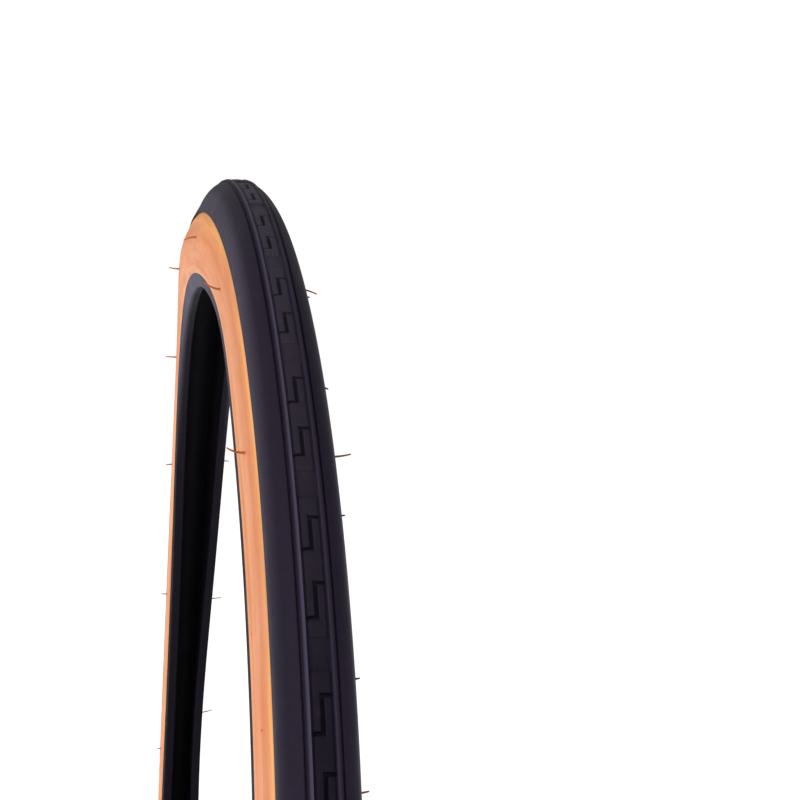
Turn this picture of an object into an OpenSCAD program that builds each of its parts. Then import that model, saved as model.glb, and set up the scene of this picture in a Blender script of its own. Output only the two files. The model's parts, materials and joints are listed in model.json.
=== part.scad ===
// Wire-bead clincher bicycle tyre, relaxed and off the rim.
// The wheel axis is Y, +Z is up, and the origin is the wheel's centre.
// Every layer is a section drawn in (radius, lateral) coordinates and turned about the axis.
// The section is a horseshoe: a round crown and two straight walls that flare down to the beads.
// Along a wall, s runs from the crown arc's centre to the bead, and t is the distance outwards.

/* [Beads and rim seat] */
// Diameter of the seat that both bead bases press on
bead_seat_d = 559; // [540:1:590]
// Diameter of the steel hoop in each bead
bead_wire_d = 1.9; // [1.6:0.1:2.2]
// Thickness of the woven chafer strip round each bead
chafer_t = 0.6; // [0.4:0.1:0.7]
// Height of the chafer strip on the outside, above the seat
chafer_outer_h = 6; // [5:0.5:7]
// Height of the chafer strip inside the tyre, above the bead wire
chafer_inner_h = 7; // [5:0.5:9]

/* [Section] */
// Depth of the section, from the bead seat to the middle of the tread
section_depth = 47; // [45:0.5:49]
// Flare of the walls away from the wheel's plane, in degrees
wall_flare = 3.5; // [3:0.5:5]
// Radius of the casing's arc under the tread
casing_r = 9.7; // [9.5:0.1:10]
// Thickness of one casing ply
ply_t = 0.5; // [0.4:0.05:0.5]
// Height that the plies turn up, above the bead wire
turn_up_h = 15; // [13:0.5:17]
// Thickness of the sidewall rubber beside the tread
skin_t = 1.0; // [0.9:0.1:1.2]

/* [Tread] */
// Thickness of rubber and breaker at the middle of the tread
tread_t = 3.2; // [3:0.1:3.6]
// Radius of the tread's outer arc
tread_r = 12; // [11.8:0.1:12.2]
// Distance from the middle of the tread down to its edge on the sidewall
tread_edge_h = 14.2; // [14:0.1:15]
// Thickness of the woven breaker strip under the tread
breaker_t = 0.35; // [0.3:0.05:0.4]
// Distance of each rib from the middle of the tread
rib_pos = 3.95; // [3.75:0.05:4.15]
// Width of a rib
rib_w = 1.4; // [1.2:0.1:1.6]
// Height of a rib above the tread's arc
rib_h = 0.5; // [0.3:0.1:0.7]

/* [Tread pattern] */
// Number of repeats round the tyre, each with two S grooves and one sunk block
pattern_count = 37; // [36:1:38]
// Length of an S groove along the tread
s_len = 12; // [10:0.5:13]
// Width of an S groove
s_groove_w = 1.2; // [1:0.1:1.4]
// Depth of an S groove
s_groove_d = 1.5; // [1.2:0.1:1.7]
// Length of a sunk block along the tread
block_len = 10; // [9:0.5:11]
// Depth of a sunk block
block_d = 0.7; // [0.6:0.1:0.9]

/* [Vent hairs] */
// Number of moulding hairs on each sidewall
wall_hair_count = 19; // [16:1:22]
// Length of a sidewall hair
wall_hair_len = 12; // [5:0.5:14]
// Length of a stub on the tread's edge
tread_stub_len = 2; // [1:0.5:3]
// Diameter of a hair
hair_d = 0.8; // [0.6:0.1:1]

/* [Hidden] */

// Facets in a full turn of the wheel, and in the round parts of the section
turn_fn = 180;
arc_steps = 24;
breaker_steps = 14;
wrap_steps = 12;
skin_steps = 16;

// Radii from the wheel's axis
seat_r = bead_seat_d / 2;
tyre_r = seat_r + section_depth;
casing_x = tyre_r - tread_t - casing_r;
tread_x = tyre_r - tread_r;

// The bead wire's centre, and how thick the bead is outside the casing
wrap_base_gap = 0.6;
wire_t = casing_r + bead_wire_d / 2;
wire_s = s_at(wire_t, seat_r + wrap_base_gap + wrap_r(2));
bead_out_t = casing_r + bead_wire_d + 2 * ply_t + chafer_t;
bead_in_t = casing_r - 2 * ply_t - chafer_t;
bead_chamfer = 0.7;

// The plies' turned-up ends stop one above the other, over the tip of the bead filler
filler_tip_t = 0.25;
turn_up_step = 3;
outer_ply_end = wire_s - turn_up_h;
inner_ply_end = outer_ply_end + turn_up_step;

// Where the tread meets the sidewall, and the sidewall meets the chafer
skirt_t = (tread_x - casing_x) * sin(wall_flare) + tread_r;
tread_edge_s = s_at(skirt_t, tyre_r - tread_edge_h);
skin_end_s = s_at(bead_out_t, seat_r + chafer_outer_h);

// The sidewall's two moulded lines, as shares of its height
line_h = 0.25;
line_share = 0.05;

// Grooves beside each rib
inner_groove_w = 0.6;
inner_groove_d = 0.4;
outer_groove_w = 0.9;
outer_groove_d = 0.7;
rib_in = rib_pos - rib_w / 2;
rib_out = rib_pos + rib_w / 2;
cut_half_w = rib_in - inner_groove_w / 2;

// Places in one repeat of the pattern, as shares of it
pattern_phase = 6.84;
s_shares = [0.1, 0.495];
block_share = 0.79;
cut_reach = 4;

// Splice sleeve on each bead wire
sleeve_t = 0.25;
sleeve_len = 12;

// Places of the hairs
hair_root = 0.4;
wall_hair_share = 0.6;
wall_hair_phase = 8.7;
tread_stub_rise = 2.5;
stub_phase = 5.45;

// Point on a wall, from its distance down the wall and its distance outwards
function wall_point(s, t) = [
    casing_x + t * sin(wall_flare) - s * cos(wall_flare),
    t * cos(wall_flare) + s * sin(wall_flare)
];

// Distance down the wall at which the line t passes radius r
function s_at(t, r) = (casing_x + t * sin(wall_flare) - r) / cos(wall_flare);

// Radius of the casing's wrap round the wire, outside k plies
function wrap_r(k) = bead_wire_d / 2 + k * ply_t;

// Crown arc of the casing, from the middle of the tread to the wall, inside radius offset
function crown_arc(r, steps = arc_steps) = [
    for (i = [0 : steps])
        let (a = i * (90 - wall_flare) / arc_steps)
        [casing_x + r * cos(a), r * sin(a)]
];

// Half turn round the wire, from inside the tyre to its outside
function wrap_arc(k) = [
    for (i = [0 : wrap_steps])
        let (a = i * 180 / wrap_steps - 90)
        wall_point(wire_s + wrap_r(k) * cos(a), wire_t + wrap_r(k) * sin(a))
];

// Distance outwards of the turned-up plies' face k, at s down the wall
function turn_up_t(k, s) =
    casing_r + k * ply_t + filler_tip_t
    + (bead_wire_d - filler_tip_t) * (s - outer_ply_end) / (wire_s - outer_ply_end);

// Face k of the casing in one half: crown, wall, round the wire and up again
function casing_face(k, end_s) = concat(
    crown_arc(casing_r - k * ply_t),
    wrap_arc(k),
    [wall_point(end_s, turn_up_t(k, end_s))]
);

function reversed(points) = [for (i = [len(points) - 1 : -1 : 0]) points[i]];
function other_half(points) = [for (p = reversed(points)) [p[0], -p[1]]];

// Path from one bead to the other, from a half that starts at the middle of the tread
function both_halves(half) = concat(
    other_half([for (i = [1 : len(half) - 1]) half[i]]),
    half
);

// Outside of the sidewall rubber at s, with its two moulded lines
function skin_share(s) = (s - tread_edge_s) / (skin_end_s - tread_edge_s);
function line_rise(u) = abs(u - 2 * line_share) < line_share || abs(u - 1 + 2 * line_share) < line_share
    ? line_h : 0;
function skin_face_t(u) =
    casing_r + skin_t + (bead_out_t - casing_r - skin_t) * u + line_rise(u);

// Outside of the tread from its middle to its edge, with the rib and its two grooves
function tread_face_r(y) = tread_x + sqrt(tread_r * tread_r - y * y);
function tread_half() = let (
    first = asin((rib_out + outer_groove_w) / tread_r),
    step = (90 - wall_flare - first) / arc_steps
) concat(
    [for (i = [0 : 4]) let (y = i * (rib_in - inner_groove_w) / 4) [tread_face_r(y), y]],
    [
        [tread_face_r(rib_in) - inner_groove_d, rib_in - inner_groove_w],
        [tread_face_r(rib_in) - inner_groove_d, rib_in],
        [tread_face_r(rib_in) + rib_h, rib_in],
        [tread_face_r(rib_out) + rib_h, rib_out],
        [tread_face_r(rib_out) - outer_groove_d, rib_out],
        [tread_face_r(rib_out) - outer_groove_d, rib_out + outer_groove_w]
    ],
    [for (i = [0 : arc_steps]) let (a = first + i * step) [tread_x + tread_r * cos(a), tread_r * sin(a)]],
    [wall_point(tread_edge_s, skirt_t), wall_point(tread_edge_s, casing_r)]
);

// Underside of the tread: over the breaker strip, then over the casing
function tread_under_half() = concat(
    crown_arc(casing_r + breaker_t, breaker_steps),
    [for (i = [breaker_steps : arc_steps]) crown_arc(casing_r)[i]]
);

// Turns a section about the wheel's axis
module turned(points, angle = 360) {
    rotate([-90, 0, 0])
        rotate_extrude(angle = angle, $fn = turn_fn)
            polygon(points);
}

// Puts a child, drawn at the crown with X outwards and Y along the tread, at an angle from the top
module at_angle(a) {
    rotate([-90, 0, 0])
        rotate([0, 0, a - 90])
            children();
}

// Copies a left-hand piece to the right when side is -1
module on_side(side) {
    if (side > 0) children();
    else mirror([0, 1, 0]) children();
}

// Cutter with an outline along and across the tread, down to a depth below its middle
module tread_cutter(outline, depth) {
    translate([tyre_r - depth, 0, 0])
        rotate([90, 0, 90])
            linear_extrude(cut_reach)
                polygon(outline);
}

// S with square corners: its two arms run out into the grooves beside the ribs
module s_groove() {
    e = s_len / 2 - s_groove_w / 2;
    w = s_groove_w / 2;
    tread_cutter([
        [-e - w, cut_half_w], [-e - w, -w], [e - w, -w], [e - w, -cut_half_w],
        [e + w, -cut_half_w], [e + w, w], [w - e, w], [w - e, cut_half_w]
    ], s_groove_d);
}

module sunk_block() {
    tread_cutter([
        for (end = [-1, 1], edge = [-end, end])
            [end * block_len / 2, edge * cut_half_w]
    ], block_d);
}

module tread_cap() {
    period = 360 / pattern_count;
    color([0.13, 0.12, 0.14])
        difference() {
            turned(concat(both_halves(tread_half()), reversed(both_halves(tread_under_half()))));
            for (i = [0 : pattern_count - 1]) {
                for (share = s_shares)
                    at_angle(pattern_phase + (i + share) * period) s_groove();
                at_angle(pattern_phase + (i + block_share) * period) sunk_block();
            }
        }
}

module breaker_strip() {
    outside = both_halves(crown_arc(casing_r + breaker_t, breaker_steps));
    inside = both_halves(crown_arc(casing_r, breaker_steps));
    color([0.55, 0.5, 0.42]) turned(concat(outside, reversed(inside)));
}

// Casing ply between faces k and k + 1, both ending at end_s on the turned-up side
module ply(k, end_s) {
    turned(concat(both_halves(casing_face(k, end_s)), reversed(both_halves(casing_face(k + 1, end_s)))));
}

module outer_ply() {
    color([0.62, 0.56, 0.45])
        difference() {
            ply(0, outer_ply_end);
            sleeve_space(1);
            sleeve_space(-1);
        }
}

module inner_ply() {
    color([0.06, 0.05, 0.06]) ply(1, inner_ply_end);
}

module sidewall_solid() {
    outside = [
        for (i = [0 : skin_steps * 2])
            let (u = i / (skin_steps * 2))
            wall_point(tread_edge_s + u * (skin_end_s - tread_edge_s), skin_face_t(u))
    ];
    inside = [
        wall_point(tread_edge_s, casing_r),
        wall_point(outer_ply_end, casing_r),
        wall_point(outer_ply_end, turn_up_t(1, outer_ply_end)),
        wall_point(inner_ply_end, turn_up_t(1, inner_ply_end)),
        wall_point(inner_ply_end, turn_up_t(2, inner_ply_end)),
        wall_point(skin_end_s, turn_up_t(2, skin_end_s))
    ];
    turned(concat(outside, reversed(inside)));
}

module sidewall(side) {
    color([0.93, 0.62, 0.42]) on_side(side) sidewall_solid();
}

// Strip round a bead, with a flat base that is a true cylinder at the seat
module chafer(side) {
    top_s = wire_s - chafer_inner_h;
    toe = wall_point(s_at(bead_in_t, seat_r + bead_chamfer), bead_in_t);
    heel = wall_point(s_at(bead_out_t, seat_r + bead_chamfer), bead_out_t);
    outside = [
        wall_point(top_s, bead_in_t),
        toe,
        [seat_r, toe[1] + bead_chamfer],
        [seat_r, heel[1] - bead_chamfer],
        heel,
        wall_point(skin_end_s, bead_out_t)
    ];
    inside = concat(
        [wall_point(top_s, casing_r - 2 * ply_t)],
        wrap_arc(2),
        [wall_point(skin_end_s, turn_up_t(2, skin_end_s))]
    );
    color([0.1, 0.09, 0.1]) on_side(side) turned(concat(outside, reversed(inside)));
}

// Points round the wire, at a radius, from one angle to another
function round_wire(r, from_step, to_step) = [
    for (i = [from_step : to_step])
        let (a = i * 180 / wrap_steps)
        wall_point(wire_s + r * cos(a), wire_t + r * sin(a))
];

// Rubber wedge above the wire, between the casing and its turned-up plies
module bead_filler(side) {
    trim = 2;
    start = round_wire(bead_wire_d / 2, wrap_steps / 2 + trim, wrap_steps * 3 / 2 - trim);
    foot_s = wire_s - bead_wire_d / 2 * sin(trim * 180 / wrap_steps);
    color([0.2, 0.18, 0.18])
        difference() {
            on_side(side)
                turned(concat(
                    [wall_point(outer_ply_end, casing_r), wall_point(outer_ply_end, turn_up_t(0, outer_ply_end))],
                    [wall_point(foot_s, turn_up_t(0, foot_s))],
                    start,
                    [wall_point(foot_s, casing_r)]
                ));
            sleeve_space(side);
        }
}

module bead_wire(side) {
    color([0.72, 0.72, 0.74])
        on_side(side) turned(round_wire(bead_wire_d / 2, 0, wrap_steps * 2 - 1));
}

// Length of the wheel's turn that a sleeve covers, centred on the bottom of the wheel
sleeve_angle = sleeve_len / (seat_r + 2) * 180 / PI;

module sleeve_space(side) {
    rotate([0, -90 - sleeve_angle / 2, 0])
        on_side(side)
            turned(round_wire(bead_wire_d / 2 + sleeve_t, 0, wrap_steps * 2 - 1), sleeve_angle);
}

module wire_sleeve(side) {
    color([0.78, 0.62, 0.3])
        difference() {
            sleeve_space(side);
            on_side(side) turned(round_wire(bead_wire_d / 2, 0, wrap_steps * 2 - 1));
        }
}

// Straight hair standing out of a wall, s down it and t outwards at its root
module hair(s, t, length) {
    root = wall_point(s, t - hair_root);
    translate([root[0], 0, root[1]])
        rotate([0, wall_flare, 0])
            cylinder(h = length + hair_root, d = hair_d, $fn = 24);
}

module wall_hairs(side) {
    s = tread_edge_s + wall_hair_share * (skin_end_s - tread_edge_s);
    color([0.85, 0.45, 0.25])
        on_side(side)
            difference() {
                for (i = [0 : wall_hair_count - 1])
                    at_angle(wall_hair_phase + i * 360 / wall_hair_count)
                        hair(s, skin_face_t(wall_hair_share), wall_hair_len);
                sidewall_solid();
            }
}

// Row of stubs on the left edge of the tread
module tread_stubs() {
    s = tread_edge_s - tread_stub_rise;
    color([0.1, 0.09, 0.1])
        for (i = [0 : pattern_count - 1])
            at_angle(stub_phase + i * 360 / pattern_count)
                hair(s, skirt_t + hair_root, tread_stub_len - hair_root);
}

tread_cap();
breaker_strip();
outer_ply();
inner_ply();
sidewall(1);  // sidewall_left
sidewall(-1);  // sidewall_right
chafer(1);  // chafer_left
chafer(-1);  // chafer_right
bead_filler(1);  // bead_filler_left
bead_filler(-1);  // bead_filler_right
bead_wire(1);  // bead_wire_left
bead_wire(-1);  // bead_wire_right
wire_sleeve(1);  // wire_sleeve_left
wire_sleeve(-1);  // wire_sleeve_right
wall_hairs(1);  // wall_hairs_left
wall_hairs(-1);  // wall_hairs_right
tread_stubs();
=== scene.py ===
"""Bicycle tire, off its rim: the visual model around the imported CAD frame.

The wheel axis is Y, +Z is up and the origin is the wheel's centre. Lengths are in metres.
+Y is the tire's left side, and +X is its front, where the camera stands.
Angles round the wheel are in radians, from the top towards the front.
The tread, sidewalls and chafers are sections of (radius, lateral) points, swept round the axis.
The layers under them are the frame's own solids, with better materials.
"""
import json
import math
import random

import bpy
import numpy as np
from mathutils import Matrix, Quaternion, Vector


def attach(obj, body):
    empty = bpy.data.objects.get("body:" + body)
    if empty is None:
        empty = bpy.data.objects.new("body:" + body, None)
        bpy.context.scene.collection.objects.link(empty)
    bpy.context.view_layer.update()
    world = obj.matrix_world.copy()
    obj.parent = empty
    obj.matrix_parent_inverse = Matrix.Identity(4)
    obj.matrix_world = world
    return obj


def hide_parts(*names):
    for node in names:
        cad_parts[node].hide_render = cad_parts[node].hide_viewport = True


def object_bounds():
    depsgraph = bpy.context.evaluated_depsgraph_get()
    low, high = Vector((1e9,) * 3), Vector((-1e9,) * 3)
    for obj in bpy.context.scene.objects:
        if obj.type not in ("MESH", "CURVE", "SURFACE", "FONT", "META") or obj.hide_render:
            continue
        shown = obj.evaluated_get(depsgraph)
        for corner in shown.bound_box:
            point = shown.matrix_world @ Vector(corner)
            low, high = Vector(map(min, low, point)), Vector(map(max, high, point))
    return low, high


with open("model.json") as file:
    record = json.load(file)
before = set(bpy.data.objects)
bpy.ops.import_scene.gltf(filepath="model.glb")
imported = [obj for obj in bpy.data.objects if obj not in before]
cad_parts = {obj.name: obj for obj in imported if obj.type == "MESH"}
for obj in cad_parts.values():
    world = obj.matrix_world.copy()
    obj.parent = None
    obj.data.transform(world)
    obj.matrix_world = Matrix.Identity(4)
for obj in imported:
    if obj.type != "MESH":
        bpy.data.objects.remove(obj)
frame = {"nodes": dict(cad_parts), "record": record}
CAD_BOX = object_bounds()

MM = 0.001
TURN = 2 * math.pi

# ---------------------------------------------------------------- driving sizes

# The rim's bead seat, and the depth of the tire's section outside it
RIM_SEAT = next(m for m in frame["record"]["mounts"] if m["name"] == "rim_seat")
SEAT_R = RIM_SEAT["dims"]["r_mm"] * MM
SECTION_DEPTH = 47 * MM

# The casing: how far each wall flares, the radius of its crown, and its layers
WALL_FLARE = math.radians(3.5)
CASING_R = 9.7 * MM
PLY_T = 0.5 * MM
SKIN_T = 1.0 * MM

# The tread: thickness, radius of its arc, and how far below the crown its edges are
TREAD_T = 3.2 * MM
TREAD_R = 12 * MM
TREAD_EDGE_H = 14.2 * MM

# The beads: the chafer's heights are over the seat outside, and over the wire inside
BEAD_WIRE_D = 1.9 * MM
WRAP_BASE_GAP = 0.6 * MM
CHAFER_T = 0.6 * MM
CHAFER_OUTER_H = 6 * MM
CHAFER_INNER_H = 7 * MM
CHAFER_TUCK = 0.5 * MM
BEAD_CHAMFER = 0.7 * MM
BEAD_ROUND = 0.5 * MM

# The two ribs, and the groove on each side of a rib
RIB_POS = 3.95 * MM
RIB_W = 1.4 * MM
RIB_H = 0.5 * MM
INNER_GROOVE_W = 0.6 * MM
INNER_GROOVE_D = 0.4 * MM
OUTER_GROOVE_W = 0.9 * MM
OUTER_GROOVE_D = 0.7 * MM

# The pattern between the ribs: shares are places in one repeat of it
PATTERN_COUNT = 37
PATTERN_PHASE = math.radians(6.84)
S_SHARES = (0.1, 0.495)
S_LEN = 12 * MM
S_GROOVE_W = 1.2 * MM
S_GROOVE_D = 1.5 * MM
BLOCK_SHARE = 0.79
BLOCK_LEN = 10 * MM
BLOCK_D = 0.7 * MM

# The moulded line near each border of a sidewall: its half width is a share of the wall
LINE_SHARE = 0.05
LINE_BLEND = 0.4
LINE_H = 0.25 * MM

# Moulding hairs: the wall's at a share of its depth, the stubs a little above the tread's edge
WALL_HAIR_COUNT = 19
WALL_HAIR_PHASE = math.radians(8.7)
WALL_HAIR_SHARE = 0.6
HAIR_R = 0.46 * MM
HAIR_ROOT_DEPTH = 0.3 * MM
STUB_PHASE = math.radians(5.45)
STUB_RISE = 2.5 * MM
STUB_R = 0.4 * MM
STUB_ROOT_DEPTH = 0.2 * MM

# Derived radii and lengths
TYRE_R = SEAT_R + SECTION_DEPTH
CASING_X = TYRE_R - TREAD_T - CASING_R
TREAD_X = TYRE_R - TREAD_R
RIB_IN = RIB_POS - RIB_W / 2
RIB_OUT = RIB_POS + RIB_W / 2
PERIOD = TURN * TYRE_R / PATTERN_COUNT
PLIES_T = 2 * PLY_T


def wall_point(s, t):
    """(radius, lateral) of a point s down the wall and t outwards."""
    return (
        CASING_X + t * math.sin(WALL_FLARE) - s * math.cos(WALL_FLARE),
        t * math.cos(WALL_FLARE) + s * math.sin(WALL_FLARE),
    )


def s_at(t, radius):
    """Distance down the wall at which the line t passes a radius."""
    return (CASING_X + t * math.sin(WALL_FLARE) - radius) / math.cos(WALL_FLARE)


# The section's landmarks: s and t of wall_point, and how far from the middle the heel is
WIRE_T = CASING_R + BEAD_WIRE_D / 2
WIRE_S = s_at(WIRE_T, SEAT_R + WRAP_BASE_GAP + BEAD_WIRE_D / 2 + PLIES_T)
BEAD_OUT_T = CASING_R + BEAD_WIRE_D + PLIES_T + CHAFER_T
BEAD_IN_T = CASING_R - PLIES_T - CHAFER_T
SKIRT_T = (TREAD_X - CASING_X) * math.sin(WALL_FLARE) + TREAD_R
TREAD_EDGE_S = s_at(SKIRT_T, TYRE_R - TREAD_EDGE_H)
SKIN_END_S = s_at(BEAD_OUT_T, SEAT_R + CHAFER_OUTER_H)
HEEL_Y = wall_point(s_at(BEAD_OUT_T, SEAT_R), BEAD_OUT_T)[1]


# ---------------------------------------------------------------- relaxed shape

# How the tire sags off its rim: (waves round the wheel, sine, cosine) of each movement,
# in mm for the shift and in degrees for the lean and the opening
SHIFT_WAVES = ((2, -1.84, -0.38), (3, 0.97, -1.30))
LEAN_WAVES = ((1, -1.61, 0.52), (2, -0.55, -0.66))
OPENING_WAVES = ((1, 1.81, -1.49), (2, -0.68, 1.15))
MEAN_LEAN = 1.26

# What moves only the walls grows over this much of the angle round the section
WALL_BLEND = math.radians(60)

# The right wall bulges outwards: not at the front, by BULGE_SIDE at the top and bottom,
# by twice that at the back, and by BULGE_TOP more near the top
BULGE_SIDE = 1.3 * MM
BULGE_TOP = 5.6 * MM
BULGE_CENTRE = math.radians(2)
BULGE_REACH = math.radians(22)
BULGE_OUTER_R = CASING_X + 5 * MM
BULGE_INNER_R = SEAT_R + 2 * MM
BULGE_POWER = 1.3

# The left wall leans in at the back, and the right one a little in front of the top:
# (side, how far in, place and reach in degrees) of each
LEANS_IN = ((1, 4.9 * MM, -88, 25), (-1, 1.7 * MM, 24, 14))
LEAN_IN_DEPTH = 20 * MM

# The left half is narrower at the front
SQUEEZE = 0.15
SQUEEZE_CENTRE = math.radians(105)
SQUEEZE_REACH = math.radians(30)
SQUEEZE_STARTS = math.radians(25)


def smooth(x):
    """Smooth step from 0 to 1 of numbers or arrays."""
    x = np.clip(x, 0, 1)
    return x * x * (3 - 2 * x)


def waves(angle, terms):
    """Sum of sine and cosine waves round the wheel."""
    return sum(a * np.sin(k * angle) + b * np.cos(k * angle) for k, a, b in terms)


def near(angle, centre, reach):
    """1 at a place round the wheel, falling softly to 0 beyond its reach."""
    return np.exp(-((angle - centre) / reach) ** 2)


def wall_share(rise, side, starts=0):
    """From 0 on the crown to 1 on the walls, growing from an angle round the section on."""
    return smooth((np.arctan2(np.abs(side), rise) - starts) / WALL_BLEND)


def bulge(radius, angle):
    """How far the right wall stands out of its flat shape."""
    share = np.clip((BULGE_OUTER_R - radius) / (BULGE_OUTER_R - BULGE_INNER_R), 0, 1)
    size = BULGE_SIDE * (1 - np.sin(angle))
    size = size + BULGE_TOP * near(angle, BULGE_CENTRE, BULGE_REACH)
    return size * np.sin(math.pi * share) ** BULGE_POWER


def squeeze(rise, side, angle):
    """Share of its width that the left half loses."""
    share = wall_share(rise, side, SQUEEZE_STARTS)
    return SQUEEZE * share * near(angle, SQUEEZE_CENTRE, SQUEEZE_REACH)


def lean_in(rise, side, angle):
    """How far a wall stands inside its flat shape, growing from the casing's centre down."""
    total = 0
    for which, size, centre, reach in LEANS_IN:
        here = size * near(np.degrees(angle), centre, reach)
        total = total + np.where(which * side > 0, here, 0)
    return total * smooth(-rise / LEAN_IN_DEPTH)


def relaxed(points):
    """Places after the section has bulged, narrowed, shifted, leaned, and opened or closed a little."""
    x, y, z = np.asarray(points, float).T
    angle = np.arctan2(x, z)
    rise = np.hypot(x, z) - CASING_X
    lean = lean_in(rise, y, angle)
    right = y - bulge(rise + CASING_X, angle) + lean
    left = y * (1 - squeeze(rise, y, angle)) - lean
    y = np.where(y < 0, right, left)
    opening = np.sign(y) * wall_share(rise, y) * waves(angle, OPENING_WAVES)
    turn = np.radians(MEAN_LEAN + waves(angle, LEAN_WAVES) + opening)
    side = y * np.cos(turn) - rise * np.sin(turn) + MM * waves(angle, SHIFT_WAVES)
    radius = CASING_X + rise * np.cos(turn) + y * np.sin(turn)
    return np.stack([radius * np.sin(angle), side, radius * np.cos(angle)], axis=-1)


# ---------------------------------------------------------------- mesh helpers

def add_object(name, data):
    """Object of a mesh, light or camera, in the scene."""
    obj = bpy.data.objects.new(name, data)
    bpy.context.scene.collection.objects.link(obj)
    return obj


def keep_rest_place(mesh, points):
    """Stores the places before sagging, which all the materials are laid out on."""
    rest = mesh.attributes.new("rest", "FLOAT_VECTOR", "POINT")
    rest.data.foreach_set("vector", np.asarray(points, np.float32).ravel())


def add_mesh(name, points, faces, material, sags=True):
    """Smooth-shaded mesh object from an (n, 3) array and an (m, 4) array of quads."""
    mesh = bpy.data.meshes.new(name)
    mesh.vertices.add(len(points))
    places = relaxed(points) if sags else points
    mesh.vertices.foreach_set("co", np.asarray(places, np.float32).ravel())
    keep_rest_place(mesh, points)
    mesh.loops.add(faces.size)
    mesh.loops.foreach_set("vertex_index", faces.astype(np.int32).ravel())
    mesh.polygons.add(len(faces))
    mesh.polygons.foreach_set("loop_start", np.arange(0, faces.size, 4, dtype=np.int32))
    mesh.update(calc_edges=True)
    mesh.validate()
    mesh.shade_smooth()
    mesh.materials.append(material)
    return add_object(name, mesh)


def ring_quads(rings, across):
    """Quads of a grid that closes round the wheel: ring i holds the points across a section."""
    i, j = np.meshgrid(np.arange(rings), np.arange(across - 1), indexing="ij")
    ahead = (i + 1) % rings
    quads = [i * across + j, i * across + j + 1, ahead * across + j + 1, ahead * across + j]
    return np.stack(quads, axis=-1).reshape(-1, 4)


def swept(name, radius, lateral, angles, material):
    """Mesh from (rings, across) arrays of radius and lateral, at each ring's angle."""
    angle = np.asarray(angles)[:, None]
    points = np.stack([radius * np.sin(angle), lateral, radius * np.cos(angle)], axis=-1)
    return add_mesh(name, points.reshape(-1, 3), ring_quads(*radius.shape), material)


def keep_faces_flat(obj):
    """Shading normals that follow the big faces, so that small bevels read as edges."""
    weighted = obj.modifiers.new("weighted_normals", "WEIGHTED_NORMAL")
    weighted.keep_sharp = True
    weighted.weight = 80


def finish_piece(obj, slot, *nodes):
    """Puts a piece on the only body, in place of CAD nodes; slot is not used."""
    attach(obj, "root")
    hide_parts(*nodes)
    return obj


def spread(start, end, step):
    """Evenly spaced values from start to just before end, no further apart than step."""
    count = max(1, math.ceil((end - start) / step))
    return [start + (end - start) * i / count for i in range(count)]


def lines_with_edges(start, end, edges, bevel, step):
    """Grid lines from start to end: four close lines round each edge, and others between them."""
    offsets = (-bevel, -bevel / 3, bevel / 3, bevel)
    marks = sorted({start, end, *(e + o for e in edges for o in offsets)})
    marks = [m for m in marks if start <= m <= end]
    lines = []
    for a, b in zip(marks, marks[1:]):
        lines += spread(a, b, step)
    return lines + [end]


# ---------------------------------------------------------------- materials

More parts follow.
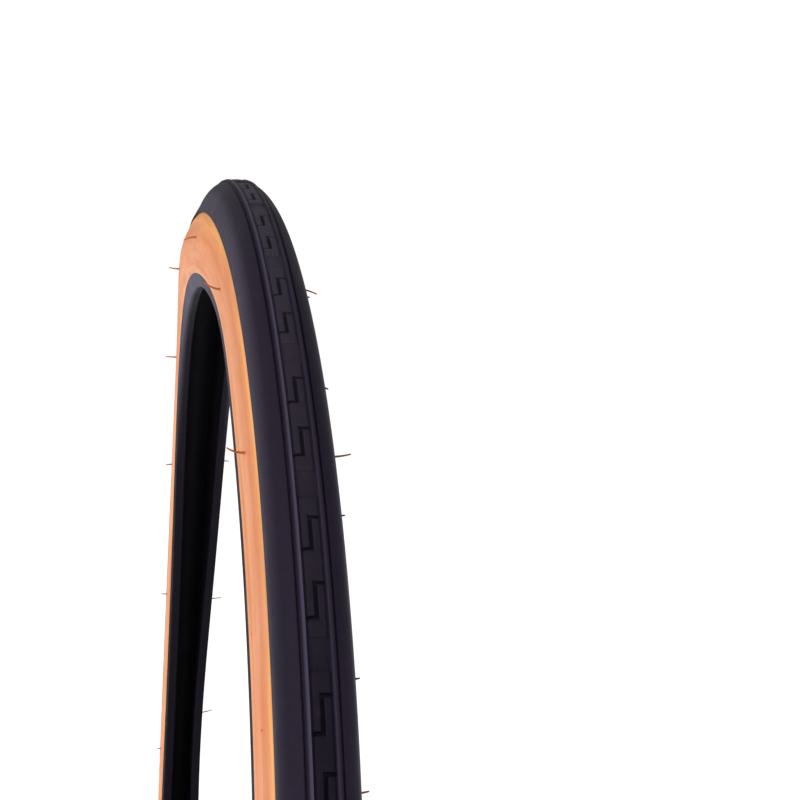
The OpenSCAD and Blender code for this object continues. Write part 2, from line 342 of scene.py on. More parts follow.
class Nodes:
    """Short calls for building a material's node tree."""

    def __init__(self, name):
        self.material = bpy.data.materials.new(name)
        self.material.use_nodes = True
        self.tree = self.material.node_tree
        self.shader = self.tree.nodes["Principled BSDF"]
        self.place = self.add("ShaderNodeAttribute", attribute_name="rest").outputs["Vector"]

    def add(self, kind, **settings):
        node = self.tree.nodes.new(kind)
        for key, value in settings.items():
            setattr(node, key, value)
        return node

    def wire(self, value, socket):
        """Links a socket, or sets a number or a colour of three numbers."""
        if isinstance(value, bpy.types.NodeSocket):
            self.tree.links.new(value, socket)
        elif socket.type == "RGBA":
            socket.default_value = (*value, 1.0)
        else:
            socket.default_value = value

    def math(self, operation, *values):
        node = self.add("ShaderNodeMath", operation=operation)
        for value, socket in zip(values, node.inputs):
            self.wire(value, socket)
        return node.outputs[0]

    def noise(self, scale, detail, roughness, place=None, stretch=None):
        """Noise from 0 to 1. stretch scales the place first, along each axis."""
        place = place or self.place
        if stretch:
            scaled = self.add("ShaderNodeVectorMath", operation="MULTIPLY")
            self.wire(place, scaled.inputs[0])
            self.wire(stretch, scaled.inputs[1])
            place = scaled.outputs[0]
        node = self.add("ShaderNodeTexNoise")
        self.wire(place, node.inputs["Vector"])
        node.inputs["Scale"].default_value = scale
        node.inputs["Detail"].default_value = detail
        node.inputs["Roughness"].default_value = roughness
        return node.outputs["Fac"]

    def range(self, value, low, high, to_low=0.0, to_high=1.0):
        """Maps low..high to to_low..to_high, and clamps."""
        node = self.add("ShaderNodeMapRange")
        self.wire(value, node.inputs["Value"])
        node.inputs["From Min"].default_value = low
        node.inputs["From Max"].default_value = high
        node.inputs["To Min"].default_value = to_low
        node.inputs["To Max"].default_value = to_high
        return node.outputs["Result"]

    def mix(self, share, first, second):
        """A colour that passes from the first to the second as share goes from 0 to 1."""
        node = self.add("ShaderNodeMix", data_type="RGBA")
        self.wire(share, node.inputs["Factor"])
        self.wire(first, node.inputs["A"])
        self.wire(second, node.inputs["B"])
        return node.outputs["Result"]

    def ramp(self, value, stops):
        """Colour ramp from (place, colour) stops."""
        node = self.add("ShaderNodeValToRGB")
        elements = node.color_ramp.elements
        while len(elements) < len(stops):
            elements.new(1.0)
        for element, (place, colour) in zip(elements, stops):
            element.position = place
            element.color = (*colour, 1.0)
        self.wire(value, node.inputs["Fac"])
        return node.outputs["Color"]

    def bump(self, height, strength, distance, normal=None):
        """Normals that follow a height, on top of an earlier bump's if there is one."""
        node = self.add("ShaderNodeBump")
        self.wire(height, node.inputs["Height"])
        node.inputs["Strength"].default_value = strength
        node.inputs["Distance"].default_value = distance
        if normal is not None:
            self.wire(normal, node.inputs["Normal"])
        return node.outputs["Normal"]

    def polar(self):
        """(radius, lateral, angle) sockets of the place, round the wheel's axis."""
        split = self.add("ShaderNodeSeparateXYZ")
        self.wire(self.place, split.inputs[0])
        x, y, z = split.outputs
        square = self.math("ADD", self.math("MULTIPLY", x, x), self.math("MULTIPLY", z, z))
        return self.math("SQRT", square), y, self.math("ARCTAN2", x, z)

    def around(self, radius, lateral, angle, along):
        """Place unrolled from the wheel: round it, shortened by the factor along, across, outwards."""
        joined = self.add("ShaderNodeCombineXYZ")
        self.wire(self.math("MULTIPLY", angle, TYRE_R * along), joined.inputs[0])
        self.wire(lateral, joined.inputs[1])
        self.wire(radius, joined.inputs[2])
        return joined.outputs[0]

    def set(self, **sockets):
        """Links or sets the shader's own sockets, and returns the material."""
        for name, value in sockets.items():
            self.wire(value, self.shader.inputs[name.replace("_", " ")])
        return self.material


# Width over which one colour on the tread passes into the next
COLOUR_EDGE = 0.3 * MM


def tread_rubber():
    n = Nodes("tread_rubber")
    radius, lateral, angle = n.polar()
    side = n.math("ABSOLUTE", lateral)
    patches = n.noise(38.0, 4.0, 0.6)
    colour = n.mix(patches, (0.0125, 0.0088, 0.0190), (0.0200, 0.0145, 0.0285))

    # Between the ribs it is paler at the top of the wheel, and darker lower down: painted light at the
    # top and painted shade lower down
    lower = n.range(n.math("ABSOLUTE", angle), math.radians(30), math.radians(68))
    crown = n.mix(lower, (0.048, 0.040, 0.057), (0.0060, 0.0042, 0.0085))
    colour = n.mix(n.range(side, RIB_IN, RIB_IN - COLOUR_EDGE, 0.0, 0.8), colour, crown)

    # The ribs' crests are pale, partly rubbed and partly a painted highlight; the left one less, as
    # painted shade on the side away from the key light
    crest = n.range(radius, TYRE_R - RIB_H, TYRE_R + 0.1 * MM)
    crest_wear_and_highlight = n.math("MULTIPLY", n.range(side, RIB_IN, RIB_IN + COLOUR_EDGE), crest)
    crest_wear_and_highlight = n.math("MULTIPLY", crest_wear_and_highlight, n.range(side, RIB_OUT, RIB_OUT - 0.5 * MM))
    crest_wear_and_highlight = n.math("MULTIPLY", crest_wear_and_highlight, n.range(lateral, -RIB_IN, RIB_IN, 1.0, 0.28))
    colour = n.mix(crest_wear_and_highlight, colour, (0.090, 0.077, 0.124))

    # The skirts are paler too, most at the top of the wheel, as painted light; where the left one
    # stands out most it has a violet painted reflection
    skirt = n.mix(lower, (0.078, 0.064, 0.096), (0.022, 0.018, 0.034))
    colour = n.mix(n.range(side, 0.76 * TREAD_R, 0.98 * TREAD_R, 0.0, 0.5), colour, skirt)
    # Painted sheen: a violet painted reflection along the left skirt's edge
    painted_sheen = n.range(lateral, 0.84 * TREAD_R, 0.96 * TREAD_R, 0.0, 0.35)
    colour = n.mix(painted_sheen, colour, (0.190, 0.170, 0.235))
    dust = n.range(n.noise(260.0, 5.0, 0.7), 0.56, 0.75)
    colour = n.mix(n.math("MULTIPLY", dust, 0.22), colour, (0.042, 0.034, 0.058))

    streaks = n.noise(120.0, 3.0, 0.55, n.around(radius, lateral, angle, 0.06))
    normal = n.bump(n.noise(900.0, 4.0, 0.6), 0.45, 0.00014)
    normal = n.bump(n.noise(150.0, 3.0, 0.5), 0.32, 0.0005, normal)
    normal = n.bump(streaks, 0.15, 0.0003, normal)
    return n.set(
        Base_Color=colour,
        Roughness=n.range(patches, 0.3, 0.7, 0.56, 0.70),
        Normal=normal,
        Specular_IOR_Level=0.12,
        Specular_Tint=(0.88, 0.78, 1.0),
    )


def gum_rubber():
    n = Nodes("gum_rubber")
    radius, lateral, angle = n.polar()
    cloudy = n.noise(30.0, 4.0, 0.6)

    # Bands of colour from the chafer up to the tread, with a wider yellow edge at the front
    share = n.range(radius, SEAT_R + CHAFER_OUTER_H, TYRE_R - TREAD_EDGE_H)
    wander = n.math("MULTIPLY", n.math("SUBTRACT", cloudy, 0.5), 0.08)
    front = n.range(angle, math.radians(20), math.radians(70), 0.0, 0.19)
    front = n.math("MULTIPLY", front, n.range(angle, math.radians(150), math.radians(115)))
    colour = n.ramp(
        n.math("ADD", n.math("ADD", share, wander), front),
        [
            (0.00, (0.97, 0.47, 0.19)),
            (0.07, (0.90, 0.38, 0.155)),
            (0.30, (0.87, 0.350, 0.155)),
            (0.52, (0.86, 0.335, 0.140)),
            (0.68, (0.77, 0.240, 0.072)),
            (0.80, (0.85, 0.30, 0.095)),
            (0.90, (0.98, 0.45, 0.095)),
            (1.00, (1.00, 0.52, 0.105)),
        ],
    )

    # Streaks and threads that run round the wheel, pale smears and dark spots
    streaks = n.noise(110.0, 4.0, 0.6, n.around(radius, lateral, angle, 0.07))
    colour = n.mix(n.range(streaks, 0.40, 0.66, 0.0, 0.80), colour, (0.68, 0.205, 0.060))
    threads = n.noise(330.0, 3.0, 0.6, n.around(radius, lateral, angle, 0.08))
    colour = n.mix(n.range(threads, 0.50, 0.68, 0.0, 0.55), colour, (0.70, 0.215, 0.062))
    pale = n.noise(75.0, 4.0, 0.6, n.around(radius, lateral, angle, 0.12))
    colour = n.mix(n.range(pale, 0.50, 0.70, 0.0, 0.55), colour, (0.92, 0.42, 0.205))
    spots = n.noise(420.0, 3.0, 0.6)
    colour = n.mix(n.range(spots, 0.62, 0.74, 0.0, 0.45), colour, (0.52, 0.17, 0.06))

    normal = n.bump(n.noise(700.0, 4.0, 0.6), 0.25, 0.00012)
    normal = n.bump(streaks, 0.35, 0.0005, normal)
    return n.set(
        Base_Color=colour,
        Roughness=n.range(cloudy, 0.3, 0.7, 0.42, 0.56),
        Normal=normal,
        Specular_IOR_Level=0.30,
    )


def gum_hair():
    """The left wall's hairs are darker."""
    n = Nodes("gum_hair")
    patches = n.noise(300.0, 3.0, 0.6)
    colour = n.mix(patches, (0.34, 0.085, 0.016), (0.58, 0.185, 0.040))
    lateral = n.polar()[1]
    colour = n.mix(n.range(lateral, 0.0, 10 * MM, 0.0, 0.85), colour, (0.10, 0.022, 0.008))
    return n.set(
        Base_Color=colour,
        Roughness=n.range(patches, 0.3, 0.7, 0.35, 0.55),
        Normal=n.bump(n.noise(1500.0, 2.0, 0.5), 0.2, 0.0001),
    )


# The beads are painted paler at the top, as a painted reflection: it grows between two angles from the
# top, and between two distances inside the heel
REFLECTION_ANGLES = (math.radians(45), math.radians(6))
REFLECTION_INSIDE = (2.6 * MM, 0.4 * MM)


def woven(name, dark, light, threads_per_metre, gloss=0.2, painted_reflection=None):
    """Rubbered cloth: fine threads that cross at 45 degrees to the bead, and a painted reflection of a
    colour at the top of the beads.
    """
    n = Nodes(name)
    radius, lateral, angle = n.polar()
    along = n.math("MULTIPLY", angle, SEAT_R)
    across = n.math("ADD", radius, lateral)
    phase = threads_per_metre * TURN
    weft = n.math("SINE", n.math("MULTIPLY", n.math("ADD", along, across), phase))
    warp = n.math("SINE", n.math("MULTIPLY", n.math("SUBTRACT", along, across), phase))
    weave = n.math("MULTIPLY", weft, warp)
    worn = n.noise(60.0, 4.0, 0.6)
    colour = n.mix(n.range(weave, -1.0, 1.0), dark, light)
    colour = n.mix(n.range(worn, 0.45, 0.75, 0.0, 0.5), colour, light)
    # Painted reflection: paler near the heel at the top of the wheel
    if painted_reflection:
        reflection_by_angle = n.range(n.math("ABSOLUTE", angle), *REFLECTION_ANGLES, 0.0, 0.9)
        inner, outer = (HEEL_Y - inside for inside in REFLECTION_INSIDE)
        reflection_by_depth = n.range(n.math("ABSOLUTE", lateral), inner, outer)
        colour = n.mix(n.math("MULTIPLY", reflection_by_angle, reflection_by_depth), colour, painted_reflection)
    normal = n.bump(weave, 0.35, 0.00010)
    normal = n.bump(n.noise(240.0, 3.0, 0.5), 0.2, 0.0002, normal)
    return n.set(
        Base_Color=colour,
        Roughness=n.range(worn, 0.3, 0.7, 0.52, 0.68),
        Normal=normal,
        Specular_IOR_Level=gloss,
    )


def brushed_metal(name, colour, second):
    n = Nodes(name)
    grain = n.noise(1200.0, 3.0, 0.6, stretch=(1.0, 0.1, 1.0))
    return n.set(
        Base_Color=n.mix(grain, colour, second),
        Roughness=n.range(grain, 0.3, 0.7, 0.25, 0.42),
        Normal=n.bump(grain, 0.15, 0.00005),
        Metallic=1.0,
    )


def filler_rubber():
    n = Nodes("filler_rubber")
    grain = n.noise(500.0, 4.0, 0.6)
    return n.set(
        Base_Color=n.mix(grain, (0.018, 0.016, 0.02), (0.032, 0.03, 0.034)),
        Roughness=n.range(grain, 0.3, 0.7, 0.5, 0.65),
        Normal=n.bump(grain, 0.3, 0.0001),
    )


# ---------------------------------------------------------------- tread

# Fineness of the tread's grid
BEVEL = 0.13 * MM
AROUND_STEP = 1.9 * MM
ACROSS_STEP = 0.55 * MM

# The skirt below the tread's arc: its rows as shares of the way down, the rounding of its
# lower edge as (up, in) distances, and how far over the casing its underside ends
SKIRT_ROWS = (0.25, 0.5, 0.75, 0.93)
SKIRT_ROUNDING = ((0.05 * MM, 0.12 * MM), (0.0, 0.35 * MM))
SKIRT_UNDERSIDE_T = 0.2 * MM

# Share of a repeat by which the grid starts before it, clear of every groove
PATTERN_LEAD = 0.05


def step_at(value, edge):
    """0 below an edge, 1 above it, over one bevel each side."""
    return smooth((value - edge) / (2 * BEVEL) + 0.5)


def between(value, low, high):
    """1 between two edges, 0 outside them."""
    return step_at(value, low) * (1 - step_at(value, high))


def tread_height(along, across):
    """Height over the tread's arc, of (along, across) places in one repeat of the pattern."""
    side = np.abs(across)
    ribs = RIB_H * between(side, RIB_IN, RIB_OUT)
    ribs = ribs - INNER_GROOVE_D * between(side, RIB_IN - INNER_GROOVE_W, RIB_IN)
    ribs = ribs - OUTER_GROOVE_D * between(side, RIB_OUT, RIB_OUT + OUTER_GROOVE_W)
    depth = BLOCK_D * between(along - BLOCK_SHARE * PERIOD, -BLOCK_LEN / 2, BLOCK_LEN / 2)
    half = S_GROOVE_W / 2
    reach = S_LEN / 2
    for share in S_SHARES:
        u = along - share * PERIOD
        stroke = between(u, -reach, reach) * between(across, -half, half)
        first = between(u, -reach, -reach + S_GROOVE_W) * step_at(across, -half)
        last = between(u, reach - S_GROOVE_W, reach) * (1 - step_at(across, half))
        depth = np.maximum(depth, S_GROOVE_D * np.maximum(stroke, np.maximum(first, last)))
    centre = 1 - step_at(side, RIB_IN)
    return np.minimum(ribs, ribs * (1 - centre) - depth * centre)


def tread_lines_along():
    """Places of the grid's rings in one repeat of the pattern, in metres along the tread."""
    edges = [BLOCK_SHARE * PERIOD + end * BLOCK_LEN / 2 for end in (-1, 1)]
    for share in S_SHARES:
        centre = share * PERIOD
        for end in (-1, 1):
            edges.append(centre + end * S_LEN / 2)
            edges.append(centre + end * (S_LEN / 2 - S_GROOVE_W))
    start = -PERIOD * PATTERN_LEAD
    return np.array(lines_with_edges(start, start + PERIOD, edges, BEVEL, AROUND_STEP)[:-1])


def tread_lines_across():
    """Places of the grid's lines across the tread, as distances along its arc."""
    edges = [S_GROOVE_W / 2, RIB_IN - INNER_GROOVE_W, RIB_IN, RIB_OUT, RIB_OUT + OUTER_GROOVE_W]
    edges = [TREAD_R * math.asin(e / TREAD_R) for e in edges]
    end = TREAD_R * (math.pi / 2 - WALL_FLARE)
    half = lines_with_edges(0.0, end, edges, BEVEL, ACROSS_STEP)
    return np.array([-v for v in reversed(half[1:])] + half)


def skirt_section():
    """(radius, lateral) points from the tread's arc down its side and in to the casing."""
    section = [wall_point(TREAD_EDGE_S * share, SKIRT_T) for share in SKIRT_ROWS]
    section += [wall_point(TREAD_EDGE_S - up, SKIRT_T - inwards) for up, inwards in SKIRT_ROUNDING]
    section.append(wall_point(TREAD_EDGE_S, CASING_R + SKIRT_UNDERSIDE_T))
    return np.array(section)


def tread(material):
    """One repeat of the pattern with a skirt on each side, made again all round the wheel."""
    along = tread_lines_along()
    turn = tread_lines_across() / TREAD_R
    height = tread_height(along[:, None], (TREAD_R * np.sin(turn))[None, :])
    radius = TREAD_X + (TREAD_R + height) * np.cos(turn)
    lateral = (TREAD_R + height) * np.sin(turn)
    skirt = skirt_section()
    skirt_r = np.repeat(skirt[None, :, 0], len(along), axis=0)
    skirt_y = np.repeat(skirt[None, :, 1], len(along), axis=0)
    radius = np.concatenate([skirt_r[:, ::-1], radius, skirt_r], axis=1)
    lateral = np.concatenate([-skirt_y[:, ::-1], lateral, skirt_y], axis=1)
    angles = [PATTERN_PHASE + (along + i * PERIOD) / TYRE_R for i in range(PATTERN_COUNT)]
    radius = np.tile(radius, (PATTERN_COUNT, 1))
    lateral = np.tile(lateral, (PATTERN_COUNT, 1))
    obj = swept("tread", radius, lateral, np.concatenate(angles), material)
    obj.data.flip_normals()
    keep_faces_flat(obj)
    return finish_piece(obj, "tread_rubber", "tread_cap")


# ---------------------------------------------------------------- sidewalls and chafers

WALL_RINGS = 540
SKIN_STEPS = 90

# The skin runs on under the tread, and at its foot it turns in over the chafer's edge
SKIN_UNDER_TREAD = 0.6 * MM
SKIN_FOOT_LAP = 0.02 * MM
SKIN_FOOT_T = 0.3 * MM


def lathed(name, section, side, material):
    """Section of (radius, lateral) points, turned round the wheel; side is 1 or -1."""
    section = np.array(section)
    radius = np.repeat(section[None, :, 0], WALL_RINGS, axis=0)
    lateral = np.repeat(side * section[None, :, 1], WALL_RINGS, axis=0)
    angles = np.arange(WALL_RINGS) * TURN / WALL_RINGS
    obj = swept(name, radius, lateral, angles, material)
    if side > 0:
        obj.data.flip_normals()
    return obj


def skin_t(u):
    """Outside of the sidewall, from 0 at the tread's edge to 1 at the chafer."""
    line = sum(
        float(smooth((LINE_SHARE - abs(u - place)) / (LINE_BLEND * LINE_SHARE)))
        for place in (2 * LINE_SHARE, 1 - 2 * LINE_SHARE)
    )
    return CASING_R + SKIN_T + (BEAD_OUT_T - CASING_R - SKIN_T) * u + LINE_H * line


def sidewall(side, word, material):
    section = [wall_point(TREAD_EDGE_S - SKIN_UNDER_TREAD, CASING_R + SKIN_T)]
    for i in range(SKIN_STEPS + 1):
        u = i / SKIN_STEPS
        section.append(wall_point(TREAD_EDGE_S + u * (SKIN_END_S - TREAD_EDGE_S), skin_t(u)))
    section.append(wall_point(SKIN_END_S + SKIN_FOOT_LAP, BEAD_OUT_T - SKIN_FOOT_T))
    obj = lathed("gum_wall_" + word, section, side, material)
    return finish_piece(obj, "gum_rubber", "sidewall_" + word)


def rounded(points, reach, steps=5, most=0.45):
    """Open outline with its inner corners rounded, by at most a share of a corner's own edges."""
    out = [points[0]]
    for a, b, c in zip(points, points[1:], points[2:]):
        a, b, c = (np.array(p) for p in (a, b, c))
        ab = b - a
        bc = c - b
        cut = min(reach, most * np.linalg.norm(ab), most * np.linalg.norm(bc))
        first = b - ab / np.linalg.norm(ab) * cut
        last = b + bc / np.linalg.norm(bc) * cut
        for i in range(steps + 1):
            k = i / steps
            out.append(tuple((1 - k) ** 2 * first + 2 * k * (1 - k) * b + k * k * last))
    return out + [points[-1]]


def chafer(side, word, material):
    """Strip from inside the casing, round the bead and up to the sidewall's foot."""
    top_s = WIRE_S - CHAFER_INNER_H
    toe = wall_point(s_at(BEAD_IN_T, SEAT_R + BEAD_CHAMFER), BEAD_IN_T)
    heel = wall_point(s_at(BEAD_OUT_T, SEAT_R + BEAD_CHAMFER), BEAD_OUT_T)
    section = [
        wall_point(top_s, CASING_R - PLIES_T),
        wall_point(top_s, BEAD_IN_T),
        toe,
        (SEAT_R, toe[1] + BEAD_CHAMFER),
        (SEAT_R, heel[1] - BEAD_CHAMFER),
        heel,
        wall_point(SKIN_END_S, BEAD_OUT_T),
        wall_point(SKIN_END_S, BEAD_OUT_T - CHAFER_TUCK),
    ]
    # Reversed, so that it runs down the outside like the sidewall's section
    section = rounded(section, BEAD_ROUND)[::-1]
    obj = lathed("chafer_strip_" + word, section, side, material)
    return finish_piece(obj, "chafer_weave", "chafer_" + word)


# ---------------------------------------------------------------- hairs

# A hair's tube: its root is flared over the first fifth, and it thins towards a blunt tip,
# which is a share of its last radius long and wide
TUBE_SIDES = 10
ROOT_FLARE = 0.25
TAPER = 0.45
TIP_LENGTH = 0.6
TIP_WIDTH = 0.3

# How far a curl of 1 moves the tip sideways, and how much less it then reaches outwards
CURL_REACH = 0.75
CURL_COST = 0.3

# Ranges that a hair's numbers are drawn from: degrees out of place, length in mm,
# curl outwards from the wheel, and curl round it
HAIR_OFFSET = (-0.6, 0.6)
HAIR_LENGTH = (6.5, 10.5)
HAIR_CURL = (-0.4, 0.4)
HAIR_SWEEP = (-0.25, 0.25)
STUB_LENGTH = (1.2, 2.1)
STUB_SWEEP = (-0.4, 0.4)
STUB_CURL = (-0.3, 0.3)

# Hairs unlike the others, by their number round the wheel: degrees out of place, length in mm,
# curl outwards from the wheel, and mm that the root is nearer the tread
LEFT_HAIRS = {
    1: (-2.4, 12.0, -0.2, 0.0),
    2: (0.3, 9.5, 0.0, 0.0),
    3: (3.7, 5.5, -0.2, 0.0),
    14: (3.0, 10.5, 0.2, 0.0),
    15: (-0.9, 10.5, -0.2, 0.0),
}
RIGHT_HAIRS = {
    0: (2.6, 6.0, -0.3, 5.5),
    1: (-1.6, 7.5, 0.55, 0.0),
    2: (0.0, 7.5, 0.5, 0.0),
    3: (0.0, 0.6, 0.0, 0.0),
    14: (-1.3, 2.5, 0.0, 0.0),
    15: (0.0, 4.0, 0.2, 0.0),
    16: (0.0, 4.0, 0.0, 0.0),
    18: (2.9, 5.5, 0.2, 0.0),
}


def tube(points, radii):
    """(points, quads) of an open tube along a path."""
    path = [Vector(p) for p in points]
    rings = []
    normal = None
    for i, p in enumerate(path):
        ahead = path[min(i + 1, len(path) - 1)] - path[max(i - 1, 0)]
        ahead.normalize()
        if normal is None:
            normal = ahead.orthogonal().normalized()
        normal = (normal - ahead * normal.dot(ahead)).normalized()
        other = ahead.cross(normal)
        for j in range(TUBE_SIDES):
            a = TURN * j / TUBE_SIDES
            rings.append(p + radii[i] * (math.cos(a) * normal + math.sin(a) * other))
    quads = []
    for i in range(len(path) - 1):
        ring = i * TUBE_SIDES
        beyond = ring + TUBE_SIDES
        for j in range(TUBE_SIDES):
            nj = (j + 1) % TUBE_SIDES
            quads.append((ring + j, ring + nj, beyond + nj, beyond + j))
    return [tuple(v) for v in rings], quads


def curved_hair(root, out, bend, length, base_r, steps=12):
    """Path and radii of a hair that starts outwards and curls towards bend."""
    points = []
    radii = []
    for i in range(steps + 1):
        k = i / steps
        straight = k - CURL_COST * bend.length * k * k
        points.append(root + out * (length * straight) + bend * (length * CURL_REACH * k * k))
        flare = 1 + ROOT_FLARE - ROOT_FLARE * min(1, k * 5)
        radii.append(base_r * flare * (1 - TAPER * k))
    tip = points[-1] + (points[-1] - points[-2]).normalized() * radii[-1] * TIP_LENGTH
    points.append(tip)
    radii.append(radii[-1] * TIP_WIDTH)
    return points, radii


def wheel_frame(angle):
    """(outwards, forwards) unit vectors at an angle round the wheel."""
    return (
        Vector((math.sin(angle), 0, math.cos(angle))),
        Vector((math.cos(angle), 0, -math.sin(angle))),
    )


def hair_piece(name, paths, material, slot, node):
    """All the hairs of one row, as one piece."""
    vertices = []
    faces = []
    for points, radii in paths:
        made, quads = tube(points, radii)
        faces += [tuple(len(vertices) + v for v in q) for q in quads]
        vertices += made
    obj = add_mesh(name, np.array(vertices), np.array(faces), material)
    return finish_piece(obj, slot, node)


def wall_hairs(side, word, material, special, draws):
    """Every hair takes its draws, so that a special one leaves the others as they are."""
    wall = SKIN_END_S - TREAD_EDGE_S
    across = Vector((0, side, 0))
    paths = []
    for i in range(WALL_HAIR_COUNT):
        drawn = (draws.uniform(*HAIR_OFFSET), draws.uniform(*HAIR_LENGTH), draws.uniform(*HAIR_CURL), 0)
        offset, length, curl, rise = special.get(i, drawn)
        share = WALL_HAIR_SHARE - rise * MM / wall
        radius, lateral = wall_point(TREAD_EDGE_S + share * wall, skin_t(share) - HAIR_ROOT_DEPTH)
        angle = WALL_HAIR_PHASE + i * TURN / WALL_HAIR_COUNT + math.radians(offset)
        outwards, forwards = wheel_frame(angle)
        root = outwards * radius + across * lateral
        bend = outwards * curl + forwards * draws.uniform(*HAIR_SWEEP)
        paths.append(curved_hair(root, across, bend, length * MM, HAIR_R))
    return hair_piece("moulding_hairs_" + word, paths, material, "gum_hair", "wall_hairs_" + word)


def tread_stubs(material, draws):
    """Short hairs that are left along the tread's left edge, one to a repeat of its pattern."""
    radius, lateral = wall_point(TREAD_EDGE_S - STUB_RISE, SKIRT_T - STUB_ROOT_DEPTH)
    across = Vector((0, 1, 0))
    paths = []
    for i in range(PATTERN_COUNT):
        outwards, forwards = wheel_frame(STUB_PHASE + i * TURN / PATTERN_COUNT)
        root = outwards * radius + across * lateral
        length = draws.uniform(*STUB_LENGTH) * MM
        bend = forwards * draws.uniform(*STUB_SWEEP) + outwards * draws.uniform(*STUB_CURL)
        paths.append(curved_hair(root, across, bend, length, STUB_R, steps=6))
    return hair_piece("vent_stubs", paths, material, "tread_rubber", "tread_stubs")


# ---------------------------------------------------------------- hidden layers

def sagged_copy(node, name, slot, material):
    """The frame's own piece, sagged like the rest, with a better material."""
    mesh = frame["nodes"][node].data.copy()
    mesh.name = name
    points = np.empty(len(mesh.vertices) * 3, np.float32)
    mesh.vertices.foreach_get("co", points)
    points = points.reshape(-1, 3)
    keep_rest_place(mesh, points)
    mesh.vertices.foreach_set("co", relaxed(points).astype(np.float32).ravel())
    mesh.update()
    mesh.shade_smooth()
    mesh.set_sharp_from_angle(angle=math.radians(30))
    mesh.materials.clear()
    mesh.materials.append(material)
    return finish_piece(add_object(name, mesh), slot, node)


# ---------------------------------------------------------------- stage, light and camera

# Half the floor's width, far more than the view, and its gap under the tire
FLOOR_HALF = 60.0
FLOOR_GAP = 0.5 * MM

# Light from all round: the white backdrop behind the tire, and the darker room before it.
# One passes into the other where the direction's X is between two values.
BACKDROP_LIGHT = 0.6
ROOM_LIGHT = 0.12
BACKDROP_X = -0.85
ROOM_X = -0.35
SEEN_BACKDROP = 1.05

# The camera is close in front of the tread, above the axle and a little to the right side
CAMERA_PLACE = Vector((2.22215, -0.20701, 0.62152)) * TYRE_R
CAMERA_YAW = math.radians(11.697)
CAMERA_PITCH = math.radians(2.047)
CAMERA_ROLL = math.radians(0.44)
CAMERA_LENS = 70.146


def white_stage():
    """Pale floor under the tire."""
    n = Nodes("studio_white")
    material = n.set(
        Base_Color=n.mix(n.noise(3.0, 2.0, 0.5), (0.90, 0.90, 0.90), (0.94, 0.94, 0.94)),
        Roughness=0.9,
        Specular_IOR_Level=0.1,
        Emission_Color=(1, 1, 1),
        Emission_Strength=0.6,
    )
    size = FLOOR_HALF
    z = CAD_BOX[0].z - FLOOR_GAP
    corners = np.array([(-size, -size, z), (size, -size, z), (size, size, z), (-size, size, z)])
    floor = add_mesh("floor", corners, np.array([[0, 1, 2, 3]]), material, sags=False)


def world_light():
    """Light from all round, and the even white that the camera sees behind the tire."""
    world = bpy.data.worlds.new("studio")
    bpy.context.scene.world = world
    world.use_nodes = True
    tree = world.node_tree
    light = tree.nodes["Background"]
    light.inputs["Color"].default_value = (1.0, 1.0, 1.0, 1)
    split = tree.nodes.new("ShaderNodeSeparateXYZ")
    shade = tree.nodes.new("ShaderNodeMapRange")
    shade.inputs["From Min"].default_value = BACKDROP_X
    shade.inputs["From Max"].default_value = ROOM_X
    shade.inputs["To Min"].default_value = BACKDROP_LIGHT
    shade.inputs["To Max"].default_value = ROOM_LIGHT
    tree.links.new(tree.nodes.new("ShaderNodeTexCoord").outputs["Generated"], split.inputs[0])
    tree.links.new(split.outputs["X"], shade.inputs["Value"])
    tree.links.new(shade.outputs["Result"], light.inputs["Strength"])
    seen = tree.nodes.new("ShaderNodeBackground")
    seen.inputs["Color"].default_value = (1.0, 1.0, 1.0, 1)
    seen.inputs["Strength"].default_value = SEEN_BACKDROP
    path = tree.nodes.new("ShaderNodeLightPath")
    mix = tree.nodes.new("ShaderNodeMixShader")
    tree.links.new(path.outputs["Is Camera Ray"], mix.inputs[0])
    tree.links.new(light.outputs[0], mix.inputs[1])
    tree.links.new(seen.outputs[0], mix.inputs[2])
    tree.links.new(mix.outputs[0], tree.nodes["World Output"].inputs["Surface"])


def sun_light(name, towards, strength, softness):
    """Even light that comes from a direction, with a disc that many degrees across."""
    data = bpy.data.lights.new(name, "SUN")
    data.energy = strength
    data.angle = math.radians(softness)
    obj = add_object(name, data)
    obj.rotation_mode = "QUATERNION"
    obj.rotation_quaternion = Vector(towards).to_track_quat("Z", "Y")


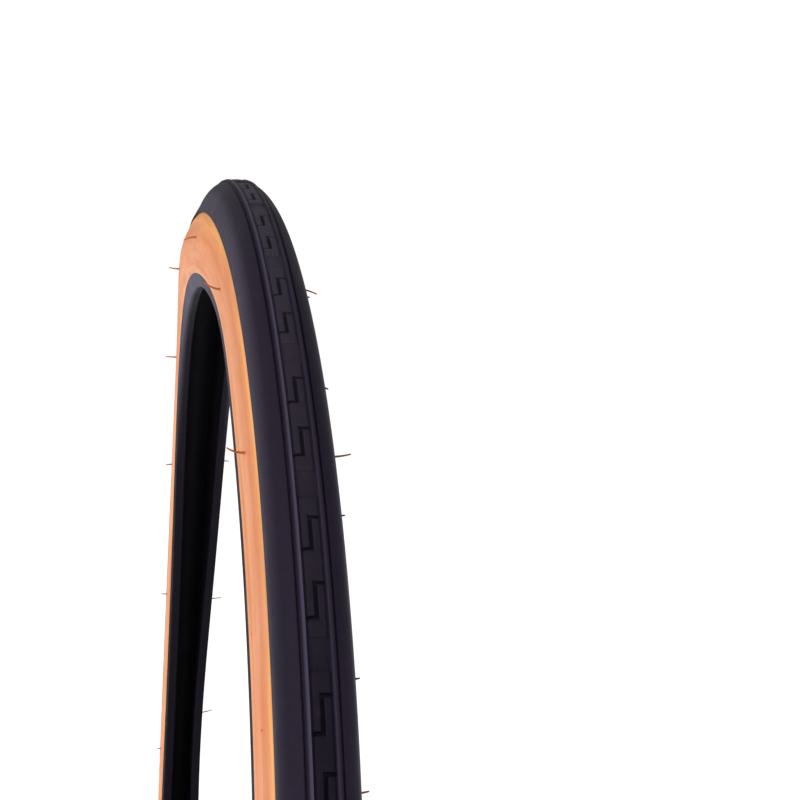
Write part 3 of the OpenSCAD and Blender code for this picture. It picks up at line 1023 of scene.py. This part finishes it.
def make_camera():
    """Camera that looks at the tire from its place, along its yaw and pitch."""
    ahead = Vector((
        -math.cos(CAMERA_PITCH) * math.cos(CAMERA_YAW),
        math.cos(CAMERA_PITCH) * math.sin(CAMERA_YAW),
        math.sin(CAMERA_PITCH),
    ))
    data = bpy.data.cameras.new("camera")
    data.sensor_width = 36.0
    data.lens = CAMERA_LENS
    data.clip_start = 0.01
    data.clip_end = 500.0
    obj = add_object("camera", data)
    obj.location = CAMERA_PLACE
    obj.rotation_mode = "QUATERNION"
    obj.rotation_quaternion = ahead.to_track_quat("-Z", "Y") @ Quaternion((0, 0, 1), CAMERA_ROLL)
    bpy.context.scene.camera = obj


# ---------------------------------------------------------------- build

def build():
    """Makes every piece. The order of the pieces sets the order of the random draws."""
    draws = random.Random(7)
    rubber = tread_rubber()
    gum = gum_rubber()
    hair = gum_hair()
    black_weave = woven(
        "chafer_weave",
        (0.0035, 0.0025, 0.0055),
        (0.009, 0.0070, 0.013),
        threads_per_metre=1300,
        gloss=0.06,
        # Colour of the painted reflection at the top of the beads
        painted_reflection=(0.120, 0.105, 0.150),
    )
    inside = woven("casing_inside", (0.005, 0.0038, 0.007), (0.012, 0.0100, 0.016), 900)
    cord = woven("casing_cord", (0.26, 0.19, 0.12), (0.42, 0.33, 0.22), 900)
    filler = filler_rubber()
    steel = brushed_metal("bead_steel", (0.50, 0.50, 0.52), (0.62, 0.62, 0.64))
    brass = brushed_metal("sleeve_brass", (0.56, 0.40, 0.15), (0.66, 0.50, 0.22))
    tread(rubber)
    tread_stubs(rubber, draws)
    sagged_copy("breaker_strip", "woven_breaker", "casing_cord", cord)
    sagged_copy("outer_ply", "casing_outer_ply", "casing_cord", cord)
    sagged_copy("inner_ply", "casing_inner_ply", "casing_inside", inside)
    for side, word, special in ((1, "left", LEFT_HAIRS), (-1, "right", RIGHT_HAIRS)):
        sidewall(side, word, gum)
        chafer(side, word, black_weave)
        wall_hairs(side, word, hair, special, draws)
        sagged_copy("bead_filler_" + word, "filler_" + word, "filler_rubber", filler)
        sagged_copy("bead_wire_" + word, "steel_hoop_" + word, "bead_steel", steel)
        sagged_copy("wire_sleeve_" + word, "splice_sleeve_" + word, "sleeve_brass", brass)


build()
white_stage()
world_light()
sun_light("key", (0.45, -0.80, 0.55), 1.7, 50)
sun_light("fill", (0.75, 0.50, 0.50), 0.80, 60)
make_camera()
bpy.context.scene.view_settings.view_transform = "Standard"
